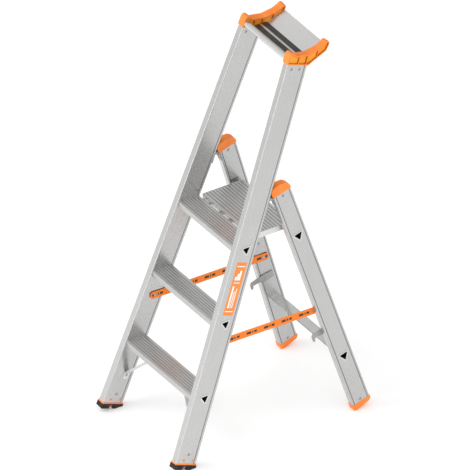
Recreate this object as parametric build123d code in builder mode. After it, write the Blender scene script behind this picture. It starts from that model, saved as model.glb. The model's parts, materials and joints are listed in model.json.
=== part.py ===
"""Folding step ladder in aluminium: two treads, a platform and a tool tray on tall stiles.

+X is to the climber's right, +Y points from the climbed front to the rear frame, +Z is up.
The origin is on the floor, in the middle of the ladder's footprint. Millimetres.
"""

import os
from math import cos, radians, sin, sqrt

from build123d import *

# ---------------------------------------------------------------- driving dimensions

STEP_SPACING = 250.0  # from tread to tread, along the stiles
FRONT_LEAN = 20.1  # degrees that the front stiles lean back
REAR_LEAN = 17.15  # degrees that the rear stiles lean forward
FRONT_FOOT_Y = -367.0  # where the front face line of the front stiles meets the floor
REAR_FOOT_Y = FRONT_FOOT_Y + 669.3  # the same for the rear stiles' front face line

FRONT_OUTER_X = 220.6  # half the width over the front stiles, at the floor
REAR_OUTER_X = 219.2
TAPER = 0.059  # how much each stile closes in, per unit of its length

FRONT_W, FRONT_D = 24.0, 78.0  # stile section: across, and front to rear
REAR_W, REAR_D = 25.0, 64.0
STILE_WALL = 1.8
STILE_CORNER = 3.5
GROOVE_WIDTH, GROOVE_DEPTH = 2.4, 1.0  # shallow grooves along the webs
FRONT_GROOVES = (FRONT_D - 10.5,)  # how far behind the front face
REAR_GROOVES = (7.3, REAR_D - 7.3)
FRONT_BOTTOM, FRONT_TOP = 41.0, 1385.0  # stile ends, measured along the stile
REAR_BOTTOM, REAR_TOP = 20.0, 888.0

TREAD_COUNT = 3
TREAD_DEPTH = 73.0
TREAD_LIP = 18.8
TREAD_WALL = 2.2
TREAD_GROOVES = 6
TREAD_GROOVE_PITCH = 9.5
TREAD_GROOVE_WIDTH, TREAD_GROOVE_DEPTH = 2.4, 1.2
LOWEST_TREAD_Y = FRONT_FOOT_Y + 127.8  # middle of the tread
LOWEST_TREAD_TOP = 243.2

TREAD_TUBE_INRADIUS = 9.4
TREAD_TUBE_DROP = 11.9  # from the tread's top down to the middle of its tube
BAR_INRADIUS = 10.3
BAR_HEIGHTS = {"lower": 208.6, "upper": 710.4}  # along the rear stiles
TUBE_WALL = 1.8
TUBE_CORNER = 3.0
FLARE_OVERHANG = 2.4
FLARE_THICKNESS = 1.4

PANEL_TOP = 720.0
PANEL_THICKNESS = 19.5
PANEL_HALF_WIDTH = 138.0
PANEL_CAP = 2.0  # thickness of the plates that close its ends
PANEL_WALL, PANEL_NOSE = 1.8, 4.0
PANEL_FRONT, PANEL_REAR = 3.5, 150.4  # behind the hinge axis
PANEL_GROOVES = 12
PANEL_GROOVE_WIDTH, PANEL_GROOVE_DEPTH = 2.6, 1.4
PANEL_CHAMBERS = 5
HINGE_DROP = 10.5  # from the panel's top down to the hinge axis
KNUCKLE_RADIUS = 4.6
TREAD_KNUCKLES = (-110.0, 0.0, 110.0)
TREAD_KNUCKLE_LENGTH = 30.0
PANEL_KNUCKLES = (-60.0, 60.0)
PANEL_KNUCKLE_LENGTH = 44.0
ROD_RADIUS = 2.5
PAD_PLACES = (-95.0, 95.0)
PAD_LENGTH = 40.0

PIVOT_STANDOFF = 8.0  # from the main pivot to the faces of both stiles
PIN_RADIUS = 3.0
PIN_HEAD_RADIUS, PIN_HEAD_HEIGHT = 4.5, 1.5
LUG_HALF_WIDTH, LUG_RADIUS = 4.0, 5.4
EAR_THICKNESS, EAR_RADIUS = 3.0, 5.2
BASE_HALF_WIDTH = 10.0
LUG_BASE_THICKNESS, FORK_BASE_THICKNESS = 2.5, 2.0
LUG_RIVETS = (-26.0, -15.0)  # below the pivot, along the stile
FORK_RIVETS = (-28.0, -16.0)

HAND_TUBE_RADIUS, HAND_TUBE_WALL = 10.0, 1.6
HAND_TUBE_PLACE = (9.0, 1399.3)  # behind the front face, and along the front stile
SHEET = 1.5
TRAY_FLOOR_Z = 1290.0
TRAY_FRONT_Y = FRONT_FOOT_Y + 500.0
TRAY_FLOOR, TRAY_SLOPE = 64.0, 58.4  # how deep the floor and the slope behind it are
TRAY_WALL, TRAY_RISE = 16.0, 24.5
INLAYS = ((14.0, 35.0), (43.5, 62.5))  # edges of the strips, behind the front wall
INLAY_THICKNESS = 1.0

STRAP_HEIGHT, STRAP_THICKNESS = 25.0, 1.5
STRAP_OVERRUN = 17.0  # past each rivet
STRAP_CORNER = 8.0
STRAP_X = 167.85  # middle of the right strap's thickness
STRAP_FRONT = (44.0, 429.4)  # rivet places: behind the front face, and along the stile
STRAP_REAR = (34.4, 391.7)
STRAP_HEAD_RADIUS, STRAP_HEAD_HEIGHT = 5.5, 1.8
COLLAR_RADIUS, STRAP_SHANK = 6.5, 3.0

RIVET_SHANK = 2.4
RIVET_HEAD_RADIUS, RIVET_HEAD_HEIGHT = 5.4, 1.6
RIVET_GRIP = 6.0

PLASTIC_HALF_WIDTH = 13.0
INSERT_GAP = 0.2  # between an insert and the stile's inside
GAP = 0.3  # between faces that move past each other
RUNNING = 0.05  # radial clearance of a pin that turns
FIT = 0.1  # between a piece and the hole that it is fixed in
ACROSS = 260.0  # more than half the ladder's width

# ---------------------------------------------------------------- planes and places

FRONT_TILT = radians(FRONT_LEAN)
REAR_TILT = -radians(REAR_LEAN)
OPEN_ANGLE = FRONT_TILT - REAR_TILT


def stile_planes(tilt, foot_y, middle_x):
    """Section plane and side plane of a right-hand stile that leans back by tilt radians.

    In the side plane, local x runs from the front face to the rear face, local y runs up
    the stile and the normal points outward. In the section plane, local x points outward
    and local y to the rear. Both start where the front face line meets the floor.
    """
    start = Vector(middle_x, foot_y, 0)
    outward = Vector(1, TAPER * sin(tilt), TAPER * cos(tilt)).normalized()
    rearward = Vector(0, cos(tilt), -sin(tilt))
    section = Plane(origin=start, x_dir=outward, z_dir=outward.cross(rearward))
    side = Plane(origin=start, x_dir=rearward, z_dir=outward)
    return section, side


front_section, front_side = stile_planes(FRONT_TILT, FRONT_FOOT_Y, FRONT_OUTER_X - FRONT_W / 2)
rear_section, rear_side = stile_planes(REAR_TILT, REAR_FOOT_Y, REAR_OUTER_X - REAR_W / 2)


def place(side, rearward, along, outward=0.0):
    """A point given by its distances behind a stile's front face, up it and outward."""
    return side.from_local_coords(Vector(rearward, along, outward))


def across_plane(x, y, z, tilt=0.0):
    """A plane across the ladder: local x points to the rear and the normal along +X."""
    return Plane(origin=(x, y, z), x_dir=(0, cos(tilt), -sin(tilt)), z_dir=(1, 0, 0))


def on_web(side, half_width, rearward, along, facing):
    """A plane on the outer (facing 1) or inner (facing -1) web, whose normal leaves it."""
    spot = place(side, rearward, along, facing * half_width)
    return Plane(origin=spot, x_dir=side.x_dir, z_dir=side.z_dir * facing)


def pivot_point():
    """(Y, Z) of the main pivot, as far behind the front stiles as before the rear ones."""
    front_reach = FRONT_D + PIVOT_STANDOFF + FRONT_FOOT_Y * cos(FRONT_TILT)
    rear_reach = -PIVOT_STANDOFF + REAR_FOOT_Y * cos(REAR_TILT)
    y = (rear_reach * sin(FRONT_TILT) - front_reach * sin(REAR_TILT)) / sin(OPEN_ANGLE)
    z = (rear_reach * cos(FRONT_TILT) - front_reach * cos(REAR_TILT)) / sin(OPEN_ANGLE)
    return y, z


PIVOT_Y, PIVOT_Z = pivot_point()
PIVOT_HEIGHT = PIVOT_Z * cos(REAR_TILT) + (PIVOT_Y - REAR_FOOT_Y) * sin(REAR_TILT)
LENGTHENING = sqrt(1 + TAPER**2)  # a stile's length for each unit seen from the side
PIVOT_X = place(rear_side, -PIVOT_STANDOFF, PIVOT_HEIGHT * LENGTHENING).X


def tread_shift(index):
    """(Y, Z) from the lowest tread to another."""
    along = index * STEP_SPACING
    return along * sin(FRONT_TILT), along * cos(FRONT_TILT)


def tread_top_plane(index):
    y, z = tread_shift(index)
    return across_plane(0, LOWEST_TREAD_Y + y, LOWEST_TREAD_TOP + z)


def tread_tube_plane(index):
    y, z = tread_shift(index)
    return across_plane(0, LOWEST_TREAD_Y + y, LOWEST_TREAD_TOP + z - TREAD_TUBE_DROP)


def bar_plane(name):
    spot = place(rear_side, REAR_D / 2, BAR_HEIGHTS[name])
    return across_plane(0, spot.Y, spot.Z, REAR_TILT)


TREAD_TUBES = [tread_tube_plane(index) for index in range(TREAD_COUNT)]
BARS = {name: bar_plane(name) for name in BAR_HEIGHTS}
HINGE_Y = LOWEST_TREAD_Y + tread_shift(TREAD_COUNT - 1)[0] + TREAD_DEPTH / 2 + KNUCKLE_RADIUS + GAP
HINGE_Z = PANEL_TOP - HINGE_DROP

# ---------------------------------------------------------------- shared shapes


def mirrored(builder):
    """The left-hand twin of a right-hand piece."""
    with BuildPart() as twin:
        mirror(builder.part, about=Plane.YZ)
    return twin


def rounded_outline(plane, corners, radius):
    """A closed outline through the corners, each of them rounded."""
    with BuildSketch(plane) as outline:
        Polygon(*corners, align=None)
        fillet(outline.vertices(), radius)
    return outline.sketch


def block(side, rearward, along, radius=1.0):
    """A rectangle in a side plane, from (low, high) pairs."""
    (front, rear), (bottom, top) = rearward, along
    with BuildSketch(side) as outline:
        with Locations(((front + rear) / 2, (bottom + top) / 2)):
            RectangleRounded(rear - front, top - bottom, radius)
    return outline.sketch


def sheet_profile(plane, route, radius):
    """The edge view of a bent sheet that lies on the right of its route."""
    with BuildSketch(plane) as profile:
        with BuildLine():
            FilletPolyline(*route, radius=radius)
            offset(amount=SHEET, side=Side.RIGHT)
        make_face()
    return profile.sketch


def triangle(plane, inradius, corner=TUBE_CORNER):
    """A triangle about the plane's origin with rounded corners, one of them pointing down."""
    half_side = sqrt(3) * inradius
    corners = ((-half_side, inradius), (half_side, inradius), (0, -2 * inradius))
    return rounded_outline(plane, corners, corner)


def cut_tube_hole(plane, inradius):
    """Let a triangular tube through the piece that is being built."""
    extrude(triangle(plane, inradius + FIT), amount=ACROSS, both=True, mode=Mode.SUBTRACT)


def tube_rim(plane, inradius, inner_face, outer_face):
    """A collar around a triangular tube, between two planes."""
    with BuildPart() as rim:
        extrude(triangle(plane, inradius + FLARE_OVERHANG, TUBE_CORNER + FLARE_OVERHANG), amount=ACROSS)
        split(bisect_by=inner_face, keep=Keep.TOP)
        split(bisect_by=outer_face, keep=Keep.BOTTOM)
    return rim


def tube_flares(planes, inradius, side, half_width):
    """Flares around the ends of tubes, outside and inside both stiles."""
    with BuildPart() as flares:
        for plane in planes:
            outside = tube_rim(plane, inradius, side.offset(half_width), side.offset(half_width + FLARE_THICKNESS))
            inside = tube_rim(plane, inradius, side.offset(-half_width - FLARE_THICKNESS), side.offset(-half_width))
            add(outside.part)
            add(inside.part)
            extrude(triangle(plane, inradius), amount=ACROSS, mode=Mode.SUBTRACT)
        mirror(about=Plane.YZ)
    return flares


def tube_across(plane, inradius, side, half_width):
    """A triangular tube across the ladder, through both stiles."""
    with BuildPart() as tube:
        extrude(triangle(plane, inradius), amount=ACROSS)
        split(bisect_by=side.offset(half_width + FLARE_THICKNESS / 2), keep=Keep.BOTTOM)
        extrude(
            triangle(plane, inradius - TUBE_WALL, TUBE_CORNER / 2), amount=ACROSS, mode=Mode.SUBTRACT
        )
        mirror(about=Plane.YZ)
    return tube


# ---------------------------------------------------------------- rivets

INTO = (Align.CENTER, Align.CENTER, Align.MAX)
OUT = (Align.CENTER, Align.CENTER, Align.MIN)


def both_webs(side, half_width, spots):
    """A plane on the outer and on the inner web for each (rearward, along) spot."""
    return [on_web(side, half_width, *spot, facing) for spot in spots for facing in (1, -1)]


def cut_rivet_holes(planes):
    with Locations(*planes):
        Cylinder(RIVET_SHANK + FIT, 2 * RIVET_GRIP + 1, mode=Mode.SUBTRACT)


def rivet_group(planes):
    """Blind rivets at the given planes, and their twins on the left."""
    with BuildPart() as group:
        with Locations(*planes):
            Cylinder(RIVET_SHANK, RIVET_GRIP, align=INTO)
            Cone(RIVET_HEAD_RADIUS, RIVET_HEAD_RADIUS * 0.6, RIVET_HEAD_HEIGHT, align=OUT)
            Cylinder(RIVET_SHANK * 0.6, 2 * RIVET_HEAD_HEIGHT, align=OUT, mode=Mode.SUBTRACT)
        mirror(about=Plane.YZ)
    return group


def hinge_rivet_planes(tilt, standoff, drops, facing):
    """Planes on a hinge base, facing the rear (1) or the front (-1)."""
    middle = across_plane(PIVOT_X, PIVOT_Y, PIVOT_Z, tilt)
    normal = middle.x_dir * facing
    spots = [middle.from_local_coords(Vector(standoff, drop, 0)) for drop in drops]
    return [Plane(origin=spot, x_dir=(1, 0, 0), z_dir=normal) for spot in spots]


BRACE_WIDTH, BRACE_THICKNESS, BRACE_MIDDLE = 18.0, 2.5, 48.8
BRACE_RIVET_ALONG = 142.0
HOOK_RIVET = (17.7, 307.6)
HOOK_STANDOFF, HOOK_THICKNESS = 0.7, 2.0
LUG_FACE = LUG_BASE_THICKNESS - PIVOT_STANDOFF
FORK_FACE = PIVOT_STANDOFF - FORK_BASE_THICKNESS

foot_rivets = both_webs(front_side, FRONT_W / 2, [(39.0, 72.0)])
bracket_rivets = both_webs(front_side, FRONT_W / 2, [(19.0, 1371.0), (50.0, 1371.0)])
rear_foot_rivets = both_webs(rear_side, REAR_W / 2, [(31.0, 29.0)])
cap_rivets = both_webs(rear_side, REAR_W / 2, [(30.0, 878.0)])
HOOK_FACE = REAR_W / 2 + HOOK_STANDOFF + HOOK_THICKNESS
hook_rivets = [on_web(rear_side, HOOK_FACE, *HOOK_RIVET, -1)]
brace_rivets = [on_web(front_side, FRONT_W / 2 + BRACE_THICKNESS, BRACE_MIDDLE, BRACE_RIVET_ALONG, -1)]
web_rivets = [on_web(rear_side, REAR_W / 2, 31.5, 453.0, -1)]
lug_rivets = hinge_rivet_planes(FRONT_TILT, LUG_FACE, LUG_RIVETS, 1)
fork_rivets = hinge_rivet_planes(REAR_TILT, FORK_FACE, FORK_RIVETS, -1)

FRONT_RIVET_PLANES = foot_rivets + bracket_rivets + brace_rivets + lug_rivets
REAR_RIVET_PLANES = rear_foot_rivets + cap_rivets + hook_rivets + web_rivets + fork_rivets

# ---------------------------------------------------------------- stiles


def stile_section(plane, width, depth, grooves):
    """The hollow section of a stile, with shallow grooves along both webs."""
    inner_corner = STILE_CORNER - STILE_WALL
    groove_spots = [(x, y) for x in (-width / 2, width / 2) for y in grooves]
    with BuildSketch(plane) as outline:
        with Locations((0, depth / 2)):
            RectangleRounded(width, depth, STILE_CORNER)
            RectangleRounded(
                width - 2 * STILE_WALL, depth - 2 * STILE_WALL, inner_corner, mode=Mode.SUBTRACT
            )
        with Locations(*groove_spots):
            Rectangle(2 * GROOVE_DEPTH, GROOVE_WIDTH, mode=Mode.SUBTRACT)
    return outline.sketch


CLIP_SPOTS = ((27.0, 52.0), (63.0, 52.0))
CLIP_WIDTH, CLIP_HEIGHT = 8.0, 6.0


def clips(extra=0.0):
    """The windows low in the webs of a front stile, or the clips that fill them."""
    with BuildSketch(front_side) as windows:
        with Locations(*CLIP_SPOTS):
            Rectangle(CLIP_WIDTH + extra, CLIP_HEIGHT + extra)
    return windows.sketch


strap_front_spot = place(front_side, *STRAP_FRONT)
strap_rear_spot = place(rear_side, *STRAP_REAR)


def cut_strap_hole(spot):
    with Locations(Plane(origin=(STRAP_X, spot.Y, spot.Z), z_dir=(1, 0, 0))):
        Cylinder(STRAP_SHANK + FIT, 3 * COLLAR_RADIUS, mode=Mode.SUBTRACT)


with BuildPart() as right_front_stile:
    front_start = front_section.offset(FRONT_BOTTOM)
    extrude(stile_section(front_start, FRONT_W, FRONT_D, FRONT_GROOVES), amount=FRONT_TOP - FRONT_BOTTOM)
    for plane in TREAD_TUBES:
        cut_tube_hole(plane, TREAD_TUBE_INRADIUS)
    cut_rivet_holes(FRONT_RIVET_PLANES)
    cut_strap_hole(strap_front_spot)
    extrude(clips(2 * FIT), amount=FRONT_W, both=True, mode=Mode.SUBTRACT)

with BuildPart() as right_rear_stile:
    rear_start = rear_section.offset(REAR_BOTTOM)
    extrude(stile_section(rear_start, REAR_W, REAR_D, REAR_GROOVES), amount=REAR_TOP - REAR_BOTTOM)
    for plane in BARS.values():
        cut_tube_hole(plane, BAR_INRADIUS)
    cut_rivet_holes(REAR_RIVET_PLANES)
    cut_strap_hole(strap_rear_spot)

# ---------------------------------------------------------------- treads and crossbars


def tread_profile(plane):
    """The tread's channel: a grooved top between two lips that are turned down."""
    first = -(TREAD_GROOVES - 1) / 2 * TREAD_GROOVE_PITCH
    groove_spots = [(first + i * TREAD_GROOVE_PITCH, 0) for i in range(TREAD_GROOVES)]
    deck = TREAD_WALL + TREAD_GROOVE_DEPTH
    with BuildSketch(plane) as outline:
        with Locations((0, -TREAD_LIP / 2)):
            Rectangle(TREAD_DEPTH, TREAD_LIP)
        fillet(outline.vertices().group_by(Axis.Y)[-1], TREAD_WALL)
        with Locations((0, -TREAD_LIP / 2 - deck)):
            Rectangle(TREAD_DEPTH - 2 * TREAD_WALL, TREAD_LIP, mode=Mode.SUBTRACT)
        with Locations(*groove_spots):
            Rectangle(TREAD_GROOVE_WIDTH, 2 * TREAD_GROOVE_DEPTH, mode=Mode.SUBTRACT)
    return outline.sketch


def tread(index):
    """A tread between the stiles, on a tube whose ends pass through them."""
    tube = tube_across(TREAD_TUBES[index], TREAD_TUBE_INRADIUS, front_side, FRONT_W / 2)
    flares = tube_flares([TREAD_TUBES[index]], TREAD_TUBE_INRADIUS, front_side, FRONT_W / 2)
    with BuildPart() as plate:
        extrude(tread_profile(tread_top_plane(index)), amount=ACROSS)
        split(bisect_by=front_side.offset(-FRONT_W / 2 - FIT), keep=Keep.BOTTOM)
        mirror(about=Plane.YZ)
        add(tube.part)
        add(flares.part)
    return plate


def knuckles(places, length, reach):
    """Hinge knuckles, each with an arm that reaches to the rear or to the front."""
    hinge = across_plane(0, HINGE_Y, HINGE_Z)
    with BuildSketch(hinge) as outline:
        Circle(KNUCKLE_RADIUS)
        with Locations((reach / 2, -KNUCKLE_RADIUS / 2)):
            Rectangle(abs(reach), KNUCKLE_RADIUS)
        Circle(ROD_RADIUS, mode=Mode.SUBTRACT)
    with BuildPart() as group:
        with Locations(*[(x, 0, 0) for x in places]):
            add(extrude(outline.sketch, amount=length / 2, both=True, mode=Mode.PRIVATE))
    return group


def rod(radius, half_length):
    """A round bar along the platform's hinge axis."""
    with BuildPart() as bar:
        with Locations(across_plane(0, HINGE_Y, HINGE_Z)):
            Cylinder(radius, 2 * half_length)
    return bar


lower_tread = tread(0)
middle_tread = tread(1)
tread_for_hinge = tread(2)
tread_knuckles = knuckles(TREAD_KNUCKLES, TREAD_KNUCKLE_LENGTH, -KNUCKLE_RADIUS - 1)
platform_hinge_rod = rod(ROD_RADIUS, TREAD_KNUCKLES[-1] + TREAD_KNUCKLE_LENGTH / 2 + 1)
with BuildPart() as upper_tread:
    add(tread_for_hinge.part)
    add(tread_knuckles.part)

lower_rear_crossbar = tube_across(BARS["lower"], BAR_INRADIUS, rear_side, REAR_W / 2)
upper_rear_crossbar = tube_across(BARS["upper"], BAR_INRADIUS, rear_side, REAR_W / 2)
rear_crossbar_flares = tube_flares(BARS.values(), BAR_INRADIUS, rear_side, REAR_W / 2)

# ---------------------------------------------------------------- platform


def panel_profile(plane):
    """The hollow plank: grooved on top, with a solid nose and chambers between its webs."""
    length = PANEL_REAR - PANEL_FRONT
    hollow_front = PANEL_FRONT + PANEL_NOSE
    deck = PANEL_WALL + PANEL_GROOVE_DEPTH
    chamber = (PANEL_REAR - hollow_front) / PANEL_CHAMBERS
    chamber_height = PANEL_THICKNESS - deck - PANEL_WALL
    chamber_y = HINGE_DROP - deck - chamber_height / 2
    chamber_middle = (chamber - PANEL_WALL) / 2
    chamber_spots = [(hollow_front + i * chamber + chamber_middle, chamber_y) for i in range(PANEL_CHAMBERS)]
    pitch = length / (PANEL_GROOVES + 1)
    groove_spots = [(PANEL_FRONT + (i + 1) * pitch, HINGE_DROP) for i in range(PANEL_GROOVES)]
    with BuildSketch(plane) as outline:
        with Locations(((PANEL_FRONT + PANEL_REAR) / 2, HINGE_DROP - PANEL_THICKNESS / 2)):
            Rectangle(length, PANEL_THICKNESS)
        fillet(outline.vertices(), 1.5)
        with Locations(*chamber_spots):
            RectangleRounded(chamber - PANEL_WALL, chamber_height, 1.0, mode=Mode.SUBTRACT)
        with Locations(*groove_spots):
            Rectangle(PANEL_GROOVE_WIDTH, 2 * PANEL_GROOVE_DEPTH, mode=Mode.SUBTRACT)
    return outline.sketch


panel_knuckles = knuckles(PANEL_KNUCKLES, PANEL_KNUCKLE_LENGTH, PANEL_FRONT + PANEL_WALL / 2)
panel_bore = rod(ROD_RADIUS + RUNNING, ACROSS)
with BuildPart() as platform_panel:
    panel_start = across_plane(-PANEL_HALF_WIDTH, HINGE_Y, HINGE_Z)
    extrude(panel_profile(panel_start), amount=2 * PANEL_HALF_WIDTH)
    with Locations(*[across_plane(x, HINGE_Y, HINGE_Z) for x in TREAD_KNUCKLES]):
        Cylinder(KNUCKLE_RADIUS + GAP, TREAD_KNUCKLE_LENGTH + 2 * GAP, mode=Mode.SUBTRACT)
    add(panel_knuckles.part)
    add(panel_bore.part, mode=Mode.SUBTRACT)

with BuildPart() as platform_end_caps:
    with BuildSketch(across_plane(PANEL_HALF_WIDTH, HINGE_Y, HINGE_Z)) as cap_face:
        with Locations(((PANEL_FRONT + PANEL_REAR) / 2, HINGE_DROP - PANEL_THICKNESS / 2)):
            RectangleRounded(PANEL_REAR - PANEL_FRONT, PANEL_THICKNESS, 1.5)
    extrude(amount=PANEL_CAP)
    mirror(about=Plane.YZ)


def rest_pad_outline():
    """A pad that fills the wedge between the panel and the upper crossbar."""
    seat = BAR_HEIGHTS["upper"] + BAR_INRADIUS + GAP
    front = place(rear_side, REAR_D / 2 - 13, seat)
    rear = place(rear_side, REAR_D / 2 + 2, seat)
    under = PANEL_TOP - PANEL_THICKNESS
    corners = ((front.Y, front.Z), (rear.Y, rear.Z), (rear.Y, under), (front.Y, under))
    with BuildSketch(across_plane(0, 0, 0)) as outline:
        Polygon(*corners, align=None)
    return outline.sketch


pad_shape = extrude(rest_pad_outline(), amount=PAD_LENGTH / 2, both=True)
with BuildPart() as platform_rest_pads:
    with Locations(*[(x, 0, 0) for x in PAD_PLACES]):
        add(pad_shape)

# ---------------------------------------------------------------- front feet

SOLE_BOTTOM, SOLE_TOP = 20.5, 36.8
SOLE_HALF_WIDTH = 14.0
RIM_REACH = 1.0
ARCH_FRONT, ARCH_REAR, ARCH_TOP = 30.0, 46.0, 32.5
KEY_FRONT, KEY_REAR, KEY_BOTTOM, KEY_HALF_WIDTH = 34.0, 42.0, 27.0, 10.0
FOOT_INSERT_TOP = 88.0


def insert(section, width, depth, start, end):
    """The part of a plug or foot that is pushed into a stile."""
    inset = STILE_WALL + INSERT_GAP
    with BuildSketch(section.offset(start)) as outline:
        with Locations((0, depth / 2)):
            RectangleRounded(width - 2 * inset, depth - 2 * inset, STILE_CORNER - STILE_WALL)
    extrude(outline.sketch, amount=end - start)


with BuildPart() as right_front_foot_plug:
    insert(front_section, FRONT_W, FRONT_D, SOLE_TOP + 1, FOOT_INSERT_TOP)
    rim = block(front_side, (-RIM_REACH, FRONT_D + RIM_REACH), (SOLE_TOP, FRONT_BOTTOM))
    extrude(rim, amount=FRONT_W / 2 + RIM_REACH, both=True)
    extrude(clips(), amount=FRONT_W / 2 + RIM_REACH / 2, both=True)
    key = block(front_side, (KEY_FRONT, KEY_REAR), (KEY_BOTTOM, SOLE_TOP + 1))
    extrude(key, amount=KEY_HALF_WIDTH, both=True)
    cut_rivet_holes(foot_rivets)

with BuildPart() as right_front_sole:
    sole_corners = ((-1.5, SOLE_BOTTOM), (80.0, SOLE_BOTTOM), (80.0, SOLE_TOP), (-1.5, SOLE_TOP))
    extrude(rounded_outline(front_side, sole_corners, 2.5), amount=SOLE_HALF_WIDTH, both=True)
    arch = block(front_side, (ARCH_FRONT, ARCH_REAR), (SOLE_BOTTOM - 8, ARCH_TOP), 5.0)
    extrude(arch, amount=FRONT_W, both=True, mode=Mode.SUBTRACT)
    key_slot = block(front_side, (KEY_FRONT - FIT, KEY_REAR + FIT), (KEY_BOTTOM - 5, SOLE_TOP + 1))
    extrude(key_slot, amount=KEY_HALF_WIDTH + FIT, both=True, mode=Mode.SUBTRACT)
    split(bisect_by=Plane.XY, keep=Keep.TOP)

# ---------------------------------------------------------------- rear feet and caps

REAR_INSERT = 30.0

with BuildPart() as right_rear_foot:
    foot_corners = ((-0.8, REAR_BOTTOM), (-0.8, -4.7), (58.0, 4.0), (65.2, 12.0), (65.2, REAR_BOTTOM))
    with BuildSketch(rear_side) as foot_outline:
        Polygon(*foot_corners, align=None)
        fillet(foot_outline.vertices().group_by(Axis.Y)[:3], 6.0)
    extrude(amount=PLASTIC_HALF_WIDTH, both=True)
    insert(rear_section, REAR_W, REAR_D, REAR_BOTTOM - 1, REAR_BOTTOM + REAR_INSERT)
    cut_rivet_holes(rear_foot_rivets)
    split(bisect_by=Plane.XY, keep=Keep.TOP)


def stop_point(along):
    """A point just behind the front stile's rear face, in the rear stile's side plane."""
    reach = PIVOT_STANDOFF - GAP
    rearward = -PIVOT_STANDOFF - reach * cos(OPEN_ANGLE) + along * sin(OPEN_ANGLE)
    height = PIVOT_HEIGHT + reach * sin(OPEN_ANGLE) + along * cos(OPEN_ANGLE)
    return rearward, height * LENGTHENING


with BuildPart() as right_stile_cap:
    cap_corners = (
        (-1.5, REAR_TOP),
        (-3.0, 895.0),
        stop_point(19.5),
        stop_point(33.0),
        (30.0, 922.0),
        (52.0, 916.0),
        (64.0, 903.0),
        (65.5, REAR_TOP),
    )
    with BuildSketch(rear_side) as cap_outline:
        Polygon(*cap_corners, align=None)
        fillet(cap_outline.vertices().group_by(Axis.Y)[2:], 3.0)
    extrude(amount=PLASTIC_HALF_WIDTH, both=True)
    insert(rear_section, REAR_W, REAR_D, REAR_TOP - REAR_INSERT, REAR_TOP + 1)
    cut_rivet_holes(cap_rivets + fork_rivets)

# ---------------------------------------------------------------- main hinge

lug_plane = across_plane(PIVOT_X, PIVOT_Y, PIVOT_Z, FRONT_TILT)
fork_plane = across_plane(PIVOT_X, PIVOT_Y, PIVOT_Z, REAR_TILT)


def hinge_base(plane, rearward, along):
    """The plate that is riveted to a stile."""
    (front, rear), (bottom, top) = rearward, along
    with BuildSketch(plane) as outline:
        with Locations(((front + rear) / 2, (bottom + top) / 2)):
            Rectangle(rear - front, top - bottom)
    return outline.sketch


def hinge_arm(plane, radius, root, bottom, top):
    """An eye about the pivot on a web that widens towards its root."""
    with BuildSketch(plane) as outline:
        Circle(radius)
        Polygon((0, -radius), (root, bottom), (root, top), (0, radius), align=None)
    return outline.sketch


with BuildPart() as right_hinge_lug:
    extrude(hinge_arm(lug_plane, LUG_RADIUS, LUG_FACE - 1, -8.0, 6.0), amount=LUG_HALF_WIDTH, both=True)
    lug_base = hinge_base(lug_plane, (-PIVOT_STANDOFF, LUG_FACE), (LUG_RIVETS[0] - 7, 7.0))
    extrude(lug_base, amount=BASE_HALF_WIDTH, both=True)
    with Locations(lug_plane):
        Cylinder(PIN_RADIUS, ACROSS, mode=Mode.SUBTRACT)
    cut_rivet_holes(lug_rivets)

with BuildPart() as right_hinge_fork:
    ear_inside = LUG_HALF_WIDTH + GAP
    fork_top = REAR_TOP / LENGTHENING - PIVOT_HEIGHT - 1.0
    fork_arm = hinge_arm(fork_plane, EAR_RADIUS, FORK_FACE + 1, -9.0, fork_top)
    extrude(fork_arm, amount=ear_inside + EAR_THICKNESS, both=True)
    extrude(fork_arm, amount=ear_inside, both=True, mode=Mode.SUBTRACT)
    fork_base = hinge_base(fork_plane, (FORK_FACE, PIVOT_STANDOFF), (FORK_RIVETS[0] - 7, fork_top))
    extrude(fork_base, amount=BASE_HALF_WIDTH, both=True)
    with Locations(fork_plane):
        Cylinder(PIN_RADIUS + RUNNING, ACROSS, mode=Mode.SUBTRACT)
    cut_rivet_holes(fork_rivets)

with BuildPart() as right_hinge_pin:
    pin_half = LUG_HALF_WIDTH + EAR_THICKNESS + 2 * GAP
    with Locations(lug_plane):
        Cylinder(PIN_RADIUS, 2 * pin_half)
    with Locations(lug_plane.offset(pin_half)):
        Cylinder(PIN_HEAD_RADIUS, PIN_HEAD_HEIGHT, align=OUT)
    with Locations(lug_plane.offset(-pin_half)):
        Cylinder(PIN_HEAD_RADIUS, PIN_HEAD_HEIGHT, align=INTO)

# ---------------------------------------------------------------- braces under the lowest tread

BRACE_FOOT, BRACE_BEND, BRACE_TAB = 128.0, 150.0, 22.0

brace_rear = front_side.x_dir * (BRACE_MIDDLE + BRACE_WIDTH / 2) + Vector(0, FRONT_FOOT_Y, 0)
brace_plane = Plane(origin=brace_rear, x_dir=(1, 0, 0), z_dir=-front_side.x_dir)


def brace_route():
    """Up the inner web, then inward at 45 degrees to the underside of the lowest tread's tube."""
    tube_apex = TREAD_TUBES[0].origin - Vector(0, 0, 2 * TREAD_TUBE_INRADIUS - TUBE_CORNER)
    foot, bend = [
        brace_plane.to_local_coords(place(front_side, BRACE_MIDDLE, along, -FRONT_W / 2))
        for along in (BRACE_FOOT, BRACE_BEND)
    ]
    top = brace_plane.to_local_coords(tube_apex).Y - 2 * FIT
    inner_end = bend.X - (top - bend.Y)
    return (foot.X, foot.Y), (bend.X, bend.Y), (inner_end, top), (inner_end - BRACE_TAB, top)


with BuildPart() as right_tread_brace:
    with BuildSketch(brace_plane):
        with BuildLine():
            FilletPolyline(*brace_route(), radius=6.0)
            offset(amount=BRACE_THICKNESS, side=Side.LEFT)
        make_face()
    extrude(amount=BRACE_WIDTH)
    cut_rivet_holes(brace_rivets)

# ---------------------------------------------------------------- tray brackets

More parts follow.
